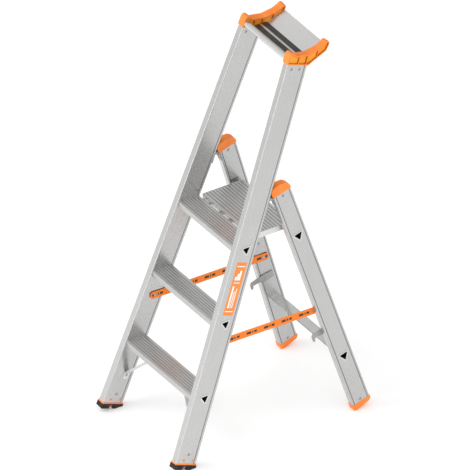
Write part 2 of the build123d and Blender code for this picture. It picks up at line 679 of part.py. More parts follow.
BRACKET_CORNERS = (
    (-2.0, FRONT_TOP),
    (-2.0, 1417.0),
    (3.0, 1424.5),
    (12.0, 1424.5),
    (27.0, 1416.0),
    (70.0, 1423.0),
    (106.0, 1442.0),
    (121.0, 1457.0),
    (126.0, 1466.0),
    (137.0, 1467.0),
    (139.0, 1457.0),
    (134.0, 1436.0),
    (79.5, FRONT_TOP),
)
BRACKET_RIBS = (39.0, 69.0, 104.0)
RIB_WIDTH, BRACKET_RIM, POCKET_DEPTH = 3.0, 4.5, 4.0
BRACKET_INSERT = 40.0
SOCKET_DEPTH = 7.0
SHELF_FRONT, SHELF_REAR = 20.0, 60.0  # behind the tray's front wall
SHELF_WIDTH, SHELF_THICKNESS = 9.0, 4.0

tube_spot = place(front_side, *HAND_TUBE_PLACE)
hand_tube_plane = across_plane(0, tube_spot.Y, tube_spot.Z)
socket_face = front_side.offset(SOCKET_DEPTH - PLASTIC_HALF_WIDTH)


def bracket_pockets(plane):
    """The recesses between a bracket's rim and its upright ribs."""
    with BuildSketch(plane) as recess:
        Polygon(*BRACKET_CORNERS, align=None)
        offset(amount=-BRACKET_RIM, kind=Kind.INTERSECTION)
        for rib in BRACKET_RIBS:
            with Locations((rib, FRONT_TOP)):
                Rectangle(RIB_WIDTH, FRONT_TOP, mode=Mode.SUBTRACT)
    return recess.sketch


with BuildPart() as socket:
    with Locations(hand_tube_plane):
        Cylinder(HAND_TUBE_RADIUS + FIT, ACROSS, align=OUT)
    split(bisect_by=socket_face, keep=Keep.BOTTOM)

with BuildPart() as shelf:
    with BuildSketch(across_plane(0, TRAY_FRONT_Y, TRAY_FLOOR_Z - SHEET - SHELF_THICKNESS / 2)):
        with Locations(((SHELF_FRONT + SHELF_REAR) / 2, 0)):
            Rectangle(SHELF_REAR - SHELF_FRONT, SHELF_THICKNESS)
    extrude(amount=ACROSS)
    split(bisect_by=front_side.offset(-PLASTIC_HALF_WIDTH - SHELF_WIDTH), keep=Keep.TOP)
    split(bisect_by=front_side.offset(1 - PLASTIC_HALF_WIDTH + POCKET_DEPTH), keep=Keep.BOTTOM)

with BuildPart() as right_tray_bracket:
    extrude(rounded_outline(front_side, BRACKET_CORNERS, 3.0), amount=PLASTIC_HALF_WIDTH, both=True)
    for plane in (front_side.offset(PLASTIC_HALF_WIDTH), front_side.offset(-PLASTIC_HALF_WIDTH)):
        extrude(bracket_pockets(plane), amount=POCKET_DEPTH, both=True, mode=Mode.SUBTRACT)
    insert(front_section, FRONT_W, FRONT_D, FRONT_TOP - BRACKET_INSERT, FRONT_TOP + 1)
    add(shelf.part)
    add(socket.part, mode=Mode.SUBTRACT)
    cut_rivet_holes(bracket_rivets)

with BuildPart() as front_hand_tube:
    with Locations(hand_tube_plane):
        Cylinder(HAND_TUBE_RADIUS, ACROSS, align=OUT)
        Cylinder(HAND_TUBE_RADIUS - HAND_TUBE_WALL, ACROSS, align=OUT, mode=Mode.SUBTRACT)
    split(bisect_by=socket_face.offset(-FIT), keep=Keep.BOTTOM)
    mirror(about=Plane.YZ)

# ---------------------------------------------------------------- tool tray

HEM_RADIUS = 2.6
TRAY_END_GAP = 0.2
tray_end = front_side.offset(-PLASTIC_HALF_WIDTH - TRAY_END_GAP)

tray_rear_y = TRAY_FRONT_Y + TRAY_FLOOR + TRAY_SLOPE

with BuildPart() as tool_tray:
    tray_route = (
        (TRAY_FRONT_Y, TRAY_FLOOR_Z + TRAY_WALL),
        (TRAY_FRONT_Y, TRAY_FLOOR_Z),
        (TRAY_FRONT_Y + TRAY_FLOOR, TRAY_FLOOR_Z),
        (tray_rear_y, TRAY_FLOOR_Z + TRAY_RISE),
    )
    extrude(sheet_profile(across_plane(0, 0, 0), tray_route, 2.0), amount=ACROSS)
    with BuildSketch(across_plane(0, tray_rear_y, TRAY_FLOOR_Z + TRAY_RISE)):
        Circle(HEM_RADIUS)
    extrude(amount=ACROSS)
    split(bisect_by=tray_end, keep=Keep.BOTTOM)
    mirror(about=Plane.YZ)

with BuildPart() as tray_inlays:
    with BuildSketch(across_plane(0, TRAY_FRONT_Y, TRAY_FLOOR_Z + INLAY_THICKNESS / 2)):
        for front, rear in INLAYS:
            with Locations(((front + rear) / 2, 0)):
                Rectangle(rear - front, INLAY_THICKNESS)
    extrude(amount=ACROSS)
    split(bisect_by=tray_end, keep=Keep.BOTTOM)
    mirror(about=Plane.YZ)

# ---------------------------------------------------------------- straps and label


def strap_rivets(spot, web):
    """Rivets that hold the straps to both stiles, each with a spacer collar to the web."""
    strap_inside = Plane(origin=(STRAP_X - STRAP_THICKNESS / 2, spot.Y, spot.Z), z_dir=(1, 0, 0))
    with BuildPart() as pair:
        with Locations(strap_inside.offset(STRAP_THICKNESS)):
            Cylinder(COLLAR_RADIUS, 2 * COLLAR_RADIUS, align=OUT)
        split(bisect_by=web, keep=Keep.BOTTOM)
        with Locations(strap_inside):
            Cylinder(STRAP_SHANK, 2 * COLLAR_RADIUS, align=OUT)
        with Locations(-strap_inside):
            Cone(STRAP_HEAD_RADIUS, STRAP_HEAD_RADIUS * 0.6, STRAP_HEAD_HEIGHT, align=OUT)
        mirror(about=Plane.YZ)
    return pair


strap_front_rivets = strap_rivets(strap_front_spot, front_side.offset(-FRONT_W / 2))
strap_rear_rivets = strap_rivets(strap_rear_spot, rear_side.offset(-REAR_W / 2))

with BuildPart() as right_strap:
    span = strap_rear_spot - strap_front_spot
    strap_run = Vector(0, span.Y, span.Z)
    strap_start = Vector(STRAP_X, strap_front_spot.Y, strap_front_spot.Z)
    strap_plane = Plane(origin=strap_start, x_dir=strap_run, z_dir=(1, 0, 0))
    with BuildSketch(strap_plane):
        with Locations((strap_run.length / 2, 0)):
            RectangleRounded(strap_run.length + 2 * STRAP_OVERRUN, STRAP_HEIGHT, STRAP_CORNER)
        with Locations((0, 0), (strap_run.length, 0)):
            Circle(STRAP_SHANK + FIT, mode=Mode.SUBTRACT)
    extrude(amount=STRAP_THICKNESS / 2, both=True)

with BuildPart() as stile_label:
    extrude(block(front_side.offset(FRONT_W / 2), (20.0, 58.5), (541.0, 720.0), 2.0), amount=GAP)

# ---------------------------------------------------------------- transport hooks

HOOK_SEAT = ((14.0, 49.0), (298.0, 321.0))  # where the hook rests on the web
HOOK_CORNERS = (
    (49.0, 297.0),
    (49.0, 322.0),
    (12.0, 327.0),
    (-31.0, 326.0),
    (-37.0, 320.0),
    (-37.0, 299.0),
    (-30.0, 297.0),
    (-27.0, 308.0),
    (-13.0, 308.0),
    (5.0, 304.0),
    (12.0, 297.0),
)

with BuildPart() as right_transport_hook:
    hook_face = rear_side.offset(-REAR_W / 2 - HOOK_STANDOFF)
    extrude(rounded_outline(hook_face, HOOK_CORNERS, 1.2), amount=-HOOK_THICKNESS)
    hook_seat = block(hook_face, *HOOK_SEAT)
    extrude(hook_seat, amount=HOOK_STANDOFF)
    cut_rivet_holes(hook_rivets)

# ---------------------------------------------------------------- export

PAIRS = {
    "front_stile": right_front_stile,
    "rear_stile": right_rear_stile,
    "front_foot_plug": right_front_foot_plug,
    "front_sole": right_front_sole,
    "rear_foot": right_rear_foot,
    "stile_cap": right_stile_cap,
    "hinge_lug": right_hinge_lug,
    "hinge_fork": right_hinge_fork,
    "hinge_pin": right_hinge_pin,
    "tread_brace": right_tread_brace,
    "tray_bracket": right_tray_bracket,
    "strap": right_strap,
    "transport_hook": right_transport_hook,
}
SINGLES = {
    "lower_tread": lower_tread,
    "middle_tread": middle_tread,
    "upper_tread": upper_tread,
    "lower_rear_crossbar": lower_rear_crossbar,
    "upper_rear_crossbar": upper_rear_crossbar,
    "rear_crossbar_flares": rear_crossbar_flares,
    "platform_panel": platform_panel,
    "platform_hinge_rod": platform_hinge_rod,
    "platform_end_caps": platform_end_caps,
    "platform_rest_pads": platform_rest_pads,
    "front_hand_tube": front_hand_tube,
    "tool_tray": tool_tray,
    "tray_inlays": tray_inlays,
    "stile_label": stile_label,
    "front_foot_rivets": rivet_group(foot_rivets),
    "tray_bracket_rivets": rivet_group(bracket_rivets),
    "rear_foot_rivets": rivet_group(rear_foot_rivets),
    "stile_cap_rivets": rivet_group(cap_rivets),
    "hook_rivets": rivet_group(hook_rivets),
    "brace_rivets": rivet_group(brace_rivets),
    "rear_web_rivets": rivet_group(web_rivets),
    "hinge_lug_rivets": rivet_group(lug_rivets),
    "hinge_fork_rivets": rivet_group(fork_rivets),
    "strap_front_rivets": strap_front_rivets,
    "strap_rear_rivets": strap_rear_rivets,
}

os.makedirs("parts", exist_ok=True)
pieces = dict(SINGLES)
for name, piece in PAIRS.items():
    pieces[f"right_{name}"] = piece
    pieces[f"left_{name}"] = mirrored(piece)

for name, piece in pieces.items():
    piece.part.label = name
    export_step(piece.part, f"parts/{name}.step")

print("main pivot", round(PIVOT_X, 2), round(PIVOT_Y, 2), round(PIVOT_Z, 2))
print("platform hinge", round(HINGE_Y, 2), round(HINGE_Z, 2))
print("degrees to fold", round(FRONT_LEAN + REAR_LEAN, 2), "and to lift the platform", 90 - FRONT_LEAN)
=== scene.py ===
"""The looks of the folding step ladder: materials, straps, label, camera, light and floor."""
import json
from math import cos, radians, sin, sqrt

import bmesh
import bpy
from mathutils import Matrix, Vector


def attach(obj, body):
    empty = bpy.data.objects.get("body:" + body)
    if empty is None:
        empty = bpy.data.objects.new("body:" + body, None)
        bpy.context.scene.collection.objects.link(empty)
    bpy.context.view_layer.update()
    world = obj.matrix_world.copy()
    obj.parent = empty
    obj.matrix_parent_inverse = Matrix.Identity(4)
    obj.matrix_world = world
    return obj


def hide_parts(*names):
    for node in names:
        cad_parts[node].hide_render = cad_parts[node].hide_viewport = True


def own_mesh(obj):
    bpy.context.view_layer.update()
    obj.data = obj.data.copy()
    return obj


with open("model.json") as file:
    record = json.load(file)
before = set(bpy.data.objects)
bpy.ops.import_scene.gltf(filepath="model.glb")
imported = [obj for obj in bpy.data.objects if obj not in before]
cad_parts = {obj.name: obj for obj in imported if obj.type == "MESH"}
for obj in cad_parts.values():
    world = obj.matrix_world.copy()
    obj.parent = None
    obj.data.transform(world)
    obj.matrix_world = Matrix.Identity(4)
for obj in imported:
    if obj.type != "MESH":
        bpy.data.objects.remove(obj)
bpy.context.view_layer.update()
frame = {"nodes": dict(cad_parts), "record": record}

# ---------------------------------------------------------------- the picture, in metres

VIEW_AZIMUTH, VIEW_ELEVATION = radians(57.0), radians(33.3)
VIEW_AIM = Vector((0.0101, -0.0011, 0.6418))
VIEW_DISTANCE = 4.0
VIEW_HEIGHT = 1.4477  # of the picture, at the object
FLOOR_REACH = 12.0
WORLD_DARK, WORLD_BRIGHT = 0.4, 1.15  # away from and towards the brightest direction
BRIGHTEST = Vector((0.55, -0.6, 0.58))
FACING_DARK, FACING_BRIGHT = -0.7, 0.9  # cosines of the angle to it where the change starts and ends
LIGHTS = (  # name, place, size and power
    ("key", (-1.2, -3.0, 3.2), (2.5, 2.5), 55),
    ("side", (3.2, -0.6, 1.8), (1.8, 2.4), 10),
    ("strip", (1.0, -2.8, 0.8), (0.9, 2.2), 12),
)
LIT_POINT = (0, 0, 0.7)

# ---------------------------------------------------------------- the ladder's own sizes, in millimetres

MM = 0.001
SLACK = 0.1  # around a face that is looked for
FRONT_LEAN, REAR_LEAN = radians(20.1), radians(-17.15)
TAPER = 0.059  # how much each stile closes in, per unit of its length
LENGTHENING = sqrt(1 + TAPER**2)  # a stile's length for each unit seen from the side
FRONT_FOOT, REAR_FOOT = Vector((208.6, -367.0, 0)), Vector((206.7, 302.3, 0))  # where the stiles start
FRONT_HALF, REAR_HALF = 12.0, 12.5  # half the width of each stile
REAR_DEPTH = 64.0
FRONT_GROOVES, REAR_GROOVES = (67.5,), (7.3, 56.7)  # behind the stile's front face
GROOVE_DEPTH, GROOVE_HALF_WIDTH = 1.0, 1.2

TREADS = ("lower_tread", "middle_tread", "upper_tread")
TREAD_SPACING = 250.0  # along the stiles
LOWEST_TREAD_Y, LOWEST_TREAD_TOP = -239.2, 243.2
TREAD_GROOVE_DEPTH, PANEL_GROOVE_DEPTH = 1.2, 1.4
TREAD_TUBE_DROP, TREAD_TUBE_INRADIUS = 11.9, 9.4
PANEL_TOP = 720.0
BAR_HEIGHTS = {"lower_rear_crossbar": 208.6, "upper_rear_crossbar": 710.4}
BAR_INRADIUS = 10.3
TUBE_SKIN = 1.0  # less than the wall of a tube, so that only its inside is found

BRACKET_START = 1387.0  # up the stile
POCKET_FLOOR = 9.3  # the recesses' bottoms are nearer to the bracket's middle than this
POCKET_WALLS = (9.5, 12.6)  # and their sides are between these


def stile_axes(lean):
    """Outward, rearward and upward directions of a right-hand stile."""
    outward = Vector((1, TAPER * sin(lean), TAPER * cos(lean))).normalized()
    rearward = Vector((0, cos(lean), -sin(lean)))
    return outward, rearward, outward.cross(rearward)


# ---------------------------------------------------------------- material helpers


class Shader:
    """A node material with short ways to add the nodes that these finishes use."""

    def __init__(self, name):
        self.material = bpy.data.materials.new(name)
        self.material.use_nodes = True
        self.tree = self.material.node_tree
        self.bsdf = self.tree.nodes["Principled BSDF"]
        self.place = self.add("ShaderNodeTexCoord").outputs["Object"]

    def add(self, kind, **settings):
        node = self.tree.nodes.new(kind)
        for key, value in settings.items():
            setattr(node, key, value)
        return node

    def link(self, start, end):
        self.tree.links.new(start, end)

    def set(self, **values):
        for key, value in values.items():
            self.bsdf.inputs[key.replace("_", " ")].default_value = value

    def stretched(self, scale, axes=None):
        """Object coordinates, turned so that X, Y and Z run along the given axes, then scaled."""
        place = self.place
        if axes is not None:
            combine = self.add("ShaderNodeCombineXYZ")
            for axis, socket in zip(axes, combine.inputs):
                dot = self.add("ShaderNodeVectorMath", operation="DOT_PRODUCT")
                self.link(self.place, dot.inputs[0])
                dot.inputs[1].default_value = axis
                self.link(dot.outputs["Value"], socket)
            place = combine.outputs[0]
        multiply = self.add("ShaderNodeVectorMath", operation="MULTIPLY")
        self.link(place, multiply.inputs[0])
        multiply.inputs[1].default_value = scale
        return multiply.outputs[0]

    def noise(self, place, scale, detail=3.0, roughness=0.5):
        node = self.add("ShaderNodeTexNoise")
        self.link(place, node.inputs["Vector"])
        node.inputs["Scale"].default_value = scale
        node.inputs["Detail"].default_value = detail
        node.inputs["Roughness"].default_value = roughness
        return node.outputs["Fac"]

    def ramp(self, value, low, high, stops=(0.0, 1.0)):
        """Colours from low to high as value goes from the first stop to the second."""
        node = self.add("ShaderNodeValToRGB")
        self.link(value, node.inputs["Fac"])
        for element, position, colour in zip(node.color_ramp.elements, stops, (low, high)):
            element.position = position
            element.color = (*colour, 1)
        return node.outputs["Color"]

    def spread(self, value, low, high):
        """Numbers from low to high as value goes from 0 to 1."""
        node = self.add("ShaderNodeMapRange")
        self.link(value, node.inputs["Value"])
        node.inputs["To Min"].default_value = low
        node.inputs["To Max"].default_value = high
        return node.outputs["Result"]

    def bump(self, value, distance, strength=1.0, normal=None):
        node = self.add("ShaderNodeBump")
        self.link(value, node.inputs["Height"])
        node.inputs["Distance"].default_value = distance
        node.inputs["Strength"].default_value = strength
        if normal is not None:
            self.link(normal, node.inputs["Normal"])
        return node.outputs["Normal"]

    def colour(self, socket):
        self.link(socket, self.bsdf.inputs["Base Color"])

    def roughness(self, socket):
        self.link(socket, self.bsdf.inputs["Roughness"])

    def normal(self, socket):
        self.link(socket, self.bsdf.inputs["Normal"])


# scales of the noise in each finish, in features per metre
DIE_LINE_SCALE, WEAR_SCALE = 900.0, 9.0
FLOW_SCALE, SPARK_GRAIN_SCALE = 22.0, 2200.0
DUST_SCALE, RUBBER_GRAIN_SCALE = 60.0, 1500.0
CLOUD_SCALE, PLATING_SCALE = 120.0, 1800.0
WEAVE_SCALE, FIBRE_SCALE = 700.0, 900.0
ALONG_STRETCH = 0.012  # how much slower the die lines vary along a profile than across it
LINE_SHARE, WEAR_SHARE = 0.6, 0.4  # of the die lines and the handling marks in the mixed pattern


def extruded_aluminium(name, axes, tone, roughness=0.3):
    """Extruded aluminium with fine die lines along the third axis, and faint handling marks."""
    shader = Shader(name)
    shader.set(Metallic=0.85)
    lines = shader.noise(shader.stretched((1, 1, ALONG_STRETCH), axes), DIE_LINE_SCALE, 2.0)
    marks = shader.noise(shader.place, WEAR_SCALE, 5.0, 0.6)
    mix = shader.add("ShaderNodeMath", operation="MULTIPLY_ADD")
    shader.link(lines, mix.inputs[0])
    mix.inputs[1].default_value = LINE_SHARE
    wear = shader.add("ShaderNodeMath", operation="MULTIPLY")
    shader.link(marks, wear.inputs[0])
    wear.inputs[1].default_value = WEAR_SHARE
    shader.link(wear.outputs[0], mix.inputs[2])
    low = tuple(0.95 * tone * c for c in (1.0, 0.995, 0.985))
    high = tuple(1.04 * tone * c for c in (1.0, 1.0, 0.995))
    shader.colour(shader.ramp(mix.outputs[0], low, high, (0.3, 0.7)))
    shader.roughness(shader.spread(mix.outputs[0], roughness - 0.03, roughness + 0.05))
    shader.normal(shader.bump(lines, 0.00001, 0.12))
    return shader.material


def moulded_plastic(name, dark, light, roughness=0.42):
    """Moulded plastic with a fine spark-eroded grain and faint flow marks."""
    shader = Shader(name)
    shader.set(Specular_IOR_Level=0.45)
    flow = shader.noise(shader.place, FLOW_SCALE, 3.0)
    grain = shader.noise(shader.place, SPARK_GRAIN_SCALE, 2.0)
    shader.colour(shader.ramp(flow, dark, light, (0.3, 0.7)))
    shader.roughness(shader.spread(grain, roughness - 0.08, roughness + 0.1))
    shader.normal(shader.bump(grain, 0.00006, 0.3))
    return shader.material


def rubber(name, dark, light, roughness=0.65):
    """Moulded rubber, dusty on its high spots."""
    shader = Shader(name)
    shader.set(Specular_IOR_Level=0.3)
    dust = shader.noise(shader.place, DUST_SCALE, 6.0, 0.65)
    grain = shader.noise(shader.place, RUBBER_GRAIN_SCALE, 2.0)
    shader.colour(shader.ramp(dust, dark, light, (0.4, 0.75)))
    shader.roughness(shader.spread(dust, roughness, roughness + 0.25))
    shader.normal(shader.bump(grain, 0.0001, 0.4))
    return shader.material


def plated_steel(name, tone):
    """Zinc-plated steel with a soft, slightly cloudy shine."""
    shader = Shader(name)
    shader.set(Metallic=0.9)
    cloud = shader.noise(shader.place, CLOUD_SCALE, 4.0, 0.6)
    low = tuple(0.8 * tone * c for c in (1.0, 1.0, 1.0))
    high = tuple(1.1 * tone * c for c in (1.0, 0.995, 0.98))
    shader.colour(shader.ramp(cloud, low, high, (0.35, 0.7)))
    shader.roughness(shader.spread(cloud, 0.25, 0.45))
    grain = shader.noise(shader.place, PLATING_SCALE, 2.0)
    shader.normal(shader.bump(grain, 0.00003, 0.3))
    return shader.material


def woven_webbing(name, dark, light):
    """Woven tape: a fine plain weave whose threads catch the light."""
    shader = Shader(name)
    shader.set(Specular_IOR_Level=0.2)
    shader.bsdf.inputs["Sheen Weight"].default_value = 0.15
    weave = shader.add("ShaderNodeTexChecker")
    shader.link(shader.stretched((0.0, 1.0, 1.0)), weave.inputs["Vector"])
    weave.inputs["Scale"].default_value = WEAVE_SCALE
    fibre = shader.noise(shader.place, FIBRE_SCALE, 4.0, 0.6)
    shader.colour(shader.ramp(fibre, dark, light, (0.3, 0.65)))
    shader.roughness(shader.spread(fibre, 0.6, 0.85))
    threads = shader.bump(weave.outputs["Fac"], 0.0002, 0.5)
    shader.normal(shader.bump(fibre, 0.0001, 0.4, threads))
    return shader.material


def dress(node, material):
    """Give a CAD node its material in every slot."""
    mesh = frame["nodes"][node].data
    mesh.materials.clear()
    mesh.materials.append(material)


def paint(node, material, chosen):
    """Give a second material to the faces of a CAD node whose middle and normal are chosen."""
    piece = frame["nodes"][node]
    piece.data.materials.append(material)
    index = len(piece.data.materials) - 1
    turn = piece.matrix_world.to_3x3()
    for face in piece.data.polygons:
        middle = piece.matrix_world @ face.center / MM
        if chosen(Vector((abs(middle.x), middle.y, middle.z)), turn @ face.normal):
            face.material_index = index


def in_stile(lean, foot, point):
    """A point's distances outward from the middle of a right-hand stile, behind its face and up it."""
    return [axis.dot(point - foot) for axis in stile_axes(lean)]


def in_groove(lean, foot, half_width, grooves):
    """Chooses the faces inside the shallow grooves of a stile."""
    deepest, shallowest = half_width - GROOVE_DEPTH - SLACK, half_width - 2 * SLACK
    reach = GROOVE_HALF_WIDTH + 2 * SLACK

    def chosen(point, normal):
        outward, rearward, _ = in_stile(lean, foot, point)
        return deepest < abs(outward) < shallowest and any(abs(rearward - g) < reach for g in grooves)

    return chosen


def below_top(top, depth):
    """Chooses the faces in the grooves of a flat top."""
    deepest, shallowest = top - depth - SLACK, top - 3 * SLACK
    return lambda point, normal: deepest < point.z < shallowest and abs(normal.x) < 0.5


def inside_tube(middle, lean, inradius):
    """Chooses the walls inside a triangular tube across the ladder: one side flat on top, two sloping."""
    reach = inradius - TUBE_SKIN

    def chosen(point, normal):
        y, z = point.y - middle[0], point.z - middle[1]
        rearward = y * cos(lean) - z * sin(lean)
        up = y * sin(lean) + z * cos(lean)
        farthest = max(up, cos(radians(30)) * abs(rearward) - up / 2)
        return farthest < reach and abs(normal.x) < 0.3

    return chosen


def on_tread_lip(point, normal):
    """Chooses the faces that look to the front, which on a tread are its lip."""
    return normal.y < -0.9


def under_bar(point, normal):
    """Chooses the faces that look down."""
    return normal.z < -0.2


def pocket_floor(point, normal):
    """Chooses the bottoms of the recesses in the sides of the tray brackets."""
    outward, _, up = in_stile(FRONT_LEAN, FRONT_FOOT, point)
    return up > BRACKET_START and abs(outward) < POCKET_FLOOR and abs(normal.x) > 0.9


def pocket_wall(point, normal):
    """Chooses the sides of those recesses."""
    outward, _, up = in_stile(FRONT_LEAN, FRONT_FOOT, point)
    inner, outer = POCKET_WALLS
    return up > BRACKET_START and inner < abs(outward) < outer and abs(normal.x) < 0.5


# ---------------------------------------------------------------- materials on the CAD nodes

ACROSS_AXES = (Vector((0, 1, 0)), Vector((0, 0, 1)), Vector((1, 0, 0)))
front_metal = extruded_aluminium("front_stile_aluminium", stile_axes(FRONT_LEAN), 0.53, 0.26)
rear_metal = extruded_aluminium("rear_stile_aluminium", stile_axes(REAR_LEAN), 0.52, 0.26)
tread_metal = extruded_aluminium("tread_aluminium", ACROSS_AXES, 0.7, 0.3)
tube_metal = extruded_aluminium("tube_aluminium", ACROSS_AXES, 0.66, 0.16)
# painted shade: a dark aluminium for the faces inside the stiles' grooves
painted_groove_shade = extruded_aluminium("stile_groove_painted_shade", ACROSS_AXES, 0.2, 0.5)
# painted shade: a darker aluminium for the faces inside the grooves of the treads and the platform
painted_tread_groove_shade = extruded_aluminium("tread_groove_painted_shade", ACROSS_AXES, 0.34, 0.45)
# painted shade: a darker aluminium for the treads' lips, which face the front
painted_lip_shade = extruded_aluminium("lip_painted_shade", ACROSS_AXES, 0.5, 0.3)
# painted shade: a darker aluminium for the faces of the crossbars that look down
tube_shade = extruded_aluminium("tube_shade", ACROSS_AXES, 0.34, 0.2)
# painted shade: a near-black aluminium for the walls inside the hollow tubes of the treads and crossbars
painted_hollow_shade = extruded_aluminium("tube_inside_painted_shade", ACROSS_AXES, 0.03, 0.6)
orange = moulded_plastic("orange_plastic", (0.86, 0.2, 0.022), (0.95, 0.26, 0.03))
orange_recess = moulded_plastic("orange_recess", (0.9, 0.3, 0.008), (0.97, 0.36, 0.012), 0.5)
# painted shade: a dark orange for the sides of the tray brackets' recesses
orange_shade = moulded_plastic("orange_shade", (0.2, 0.04, 0.006), (0.34, 0.07, 0.01), 0.7)
black = rubber("black_rubber", (0.012, 0.012, 0.012), (0.04, 0.038, 0.036))
inlay = rubber("dark_inlay", (0.035, 0.035, 0.03), (0.06, 0.06, 0.05), 0.2)
steel = plated_steel("zinc_steel", 0.4)
webbing = woven_webbing("orange_webbing", (0.8, 0.15, 0.012), (0.98, 0.27, 0.03))
webbing_mark = woven_webbing("webbing_mark", (0.02, 0.018, 0.016), (0.06, 0.05, 0.045))
label_film = moulded_plastic("label_film", (0.9, 0.23, 0.03), (0.95, 0.27, 0.04), 0.25)
label_ink = moulded_plastic("label_ink", (0.86, 0.86, 0.85), (0.93, 0.93, 0.92), 0.3)

SLOT_MATERIALS = {
    "aluminium": tread_metal,
    "orange_plastic": orange,
    "black_rubber": black,
    "dark_inlay": inlay,
    "orange_webbing": webbing,
    "label": label_film,
    "zinc_steel": steel,
}


def side_place(lean, foot, rearward, along):
    """(Y, Z) of a point behind a stile's front face and up it."""
    height = along / LENGTHENING
    y = foot.y + rearward * cos(lean) + height * sin(lean)
    return y, -rearward * sin(lean) + height * cos(lean)


def dress_stiles_and_brackets():
    """Stiles with painted shade in their grooves, and tray brackets with a second orange on the floors of
    their recesses and painted shade on the recesses' sides.
    """
    for side in ("left", "right"):
        dress(f"{side}_front_stile", front_metal)
        dress(f"{side}_rear_stile", rear_metal)
        front_grooves = in_groove(FRONT_LEAN, FRONT_FOOT, FRONT_HALF, FRONT_GROOVES)
        rear_grooves = in_groove(REAR_LEAN, REAR_FOOT, REAR_HALF, REAR_GROOVES)
        paint(f"{side}_front_stile", painted_groove_shade, front_grooves)
        paint(f"{side}_rear_stile", painted_groove_shade, rear_grooves)
        paint(f"{side}_tray_bracket", orange_recess, pocket_floor)
        paint(f"{side}_tray_bracket", orange_shade, pocket_wall)


def dress_treads_and_panel():
    """Painted shade on the treads' lips, in their grooves and inside their hollow tubes, and painted
    shade in the platform's grooves.
    """
    for index, node in enumerate(TREADS):
        along = index * TREAD_SPACING
        top = LOWEST_TREAD_TOP + along * cos(FRONT_LEAN)
        tube = (LOWEST_TREAD_Y + along * sin(FRONT_LEAN), top - TREAD_TUBE_DROP)
        paint(node, painted_lip_shade, on_tread_lip)
        paint(node, painted_tread_groove_shade, below_top(top, TREAD_GROOVE_DEPTH))
        paint(node, painted_hollow_shade, inside_tube(tube, 0.0, TREAD_TUBE_INRADIUS))
    paint("platform_panel", painted_tread_groove_shade, below_top(PANEL_TOP, PANEL_GROOVE_DEPTH))


def dress_tubes():
    """Smooth tubes; the crossbars have painted shade underneath and inside."""
    for node in ("front_hand_tube", *BAR_HEIGHTS, "rear_crossbar_flares"):
        dress(node, tube_metal)
    for node, along in BAR_HEIGHTS.items():
        middle = side_place(REAR_LEAN, REAR_FOOT, REAR_DEPTH / 2, along)
        paint(node, tube_shade, under_bar)
        paint(node, painted_hollow_shade, inside_tube(middle, REAR_LEAN, BAR_INRADIUS))


for part in frame["record"]["subparts"]:
    dress(part["node"], SLOT_MATERIALS[part["material_slot"]])
dress_stiles_and_brackets()
dress_tubes()
dress_treads_and_panel()

# ---------------------------------------------------------------- straps

STRAP_FRONT, STRAP_REAR = (44.0, 429.4), (34.4, 391.7)  # rivets: behind the face, and up the stile
STRAP_X = 167.85
STRAP_OVERRUN, STRAP_HALF_HEIGHT, STRAP_CORNER = 17.0, 12.5, 8.0
STRAP_HALF_THICKNESS = 0.735
STRAP_STEPS, STRAP_ROWS = 232, 12  # of its mesh, along and across
DASH_PITCH, DASH_HALF_HEIGHT = 64.0, 4.5
DASHES = ((6.0, 22.0), (26.0, 30.0), (34.0, 44.0))  # along each repeat of the printed pattern


def is_dash(along, height):
    """Whether a place on a strap is inside the printed pattern."""
    inside = abs(height) < DASH_HALF_HEIGHT
    return inside and any(low < along % DASH_PITCH < high for low, high in DASHES)


def strap_half_height(along, length):
    """Half the strap's height, which falls away round its corners."""
    near = min(along, length - along, STRAP_CORNER)
    return STRAP_HALF_HEIGHT - STRAP_CORNER + sqrt(STRAP_CORNER**2 - (STRAP_CORNER - near) ** 2)


def strap_sheet(grid, x, start, run, length):
    """A grid of vertices over one side of a strap, as columns from bottom to top."""
    upward = Vector((0, -run.z, run.y))
    columns = []
    for i in range(STRAP_STEPS + 1):
        along = length * i / STRAP_STEPS
        half = strap_half_height(along, length)
        foot = start + run * (along - STRAP_OVERRUN)
        heights = [half * (2 * j / STRAP_ROWS - 1) for j in range(STRAP_ROWS + 1)]
        spots = [foot + upward * height for height in heights]
        columns.append([grid.verts.new(Vector((x, spot.y, spot.z)) * MM) for spot in spots])
    return columns


def fill_sheet(grid, columns, length, order):
    """The faces of one side, those in the printed dashes with the second material."""
    for i in range(STRAP_STEPS):
        for j in range(STRAP_ROWS):
            corners = [columns[i][j], columns[i + 1][j], columns[i + 1][j + 1], columns[i][j + 1]]
            face = grid.faces.new(corners[::order])
            height = STRAP_HALF_HEIGHT * (2 * j + 1 - STRAP_ROWS) / STRAP_ROWS
            face.material_index = int(is_dash(length * (i + 0.5) / STRAP_STEPS, height))


def close_rim(grid, front, back):
    """The narrow edge all round, between the two sides."""
    rim = [(i, 0) for i in range(STRAP_STEPS)]
    rim += [(STRAP_STEPS, j) for j in range(STRAP_ROWS)]
    rim += [(i, STRAP_ROWS) for i in range(STRAP_STEPS, 0, -1)]
    rim += [(0, j) for j in range(STRAP_ROWS, 0, -1)]
    for (i, j), (k, m) in zip(rim, rim[1:] + rim[:1]):
        grid.faces.new((front[i][j], back[i][j], back[k][m], front[k][m]))


def add_mesh(name, grid, materials):
    """An object made from a bmesh, riding on the front frame."""
    mesh = bpy.data.meshes.new(name)
    grid.to_mesh(mesh)
    grid.free()
    for material in materials:
        mesh.materials.append(material)
    piece = bpy.data.objects.new(name, mesh)
    bpy.context.scene.collection.objects.link(piece)
    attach(piece, "front_frame")
    return piece


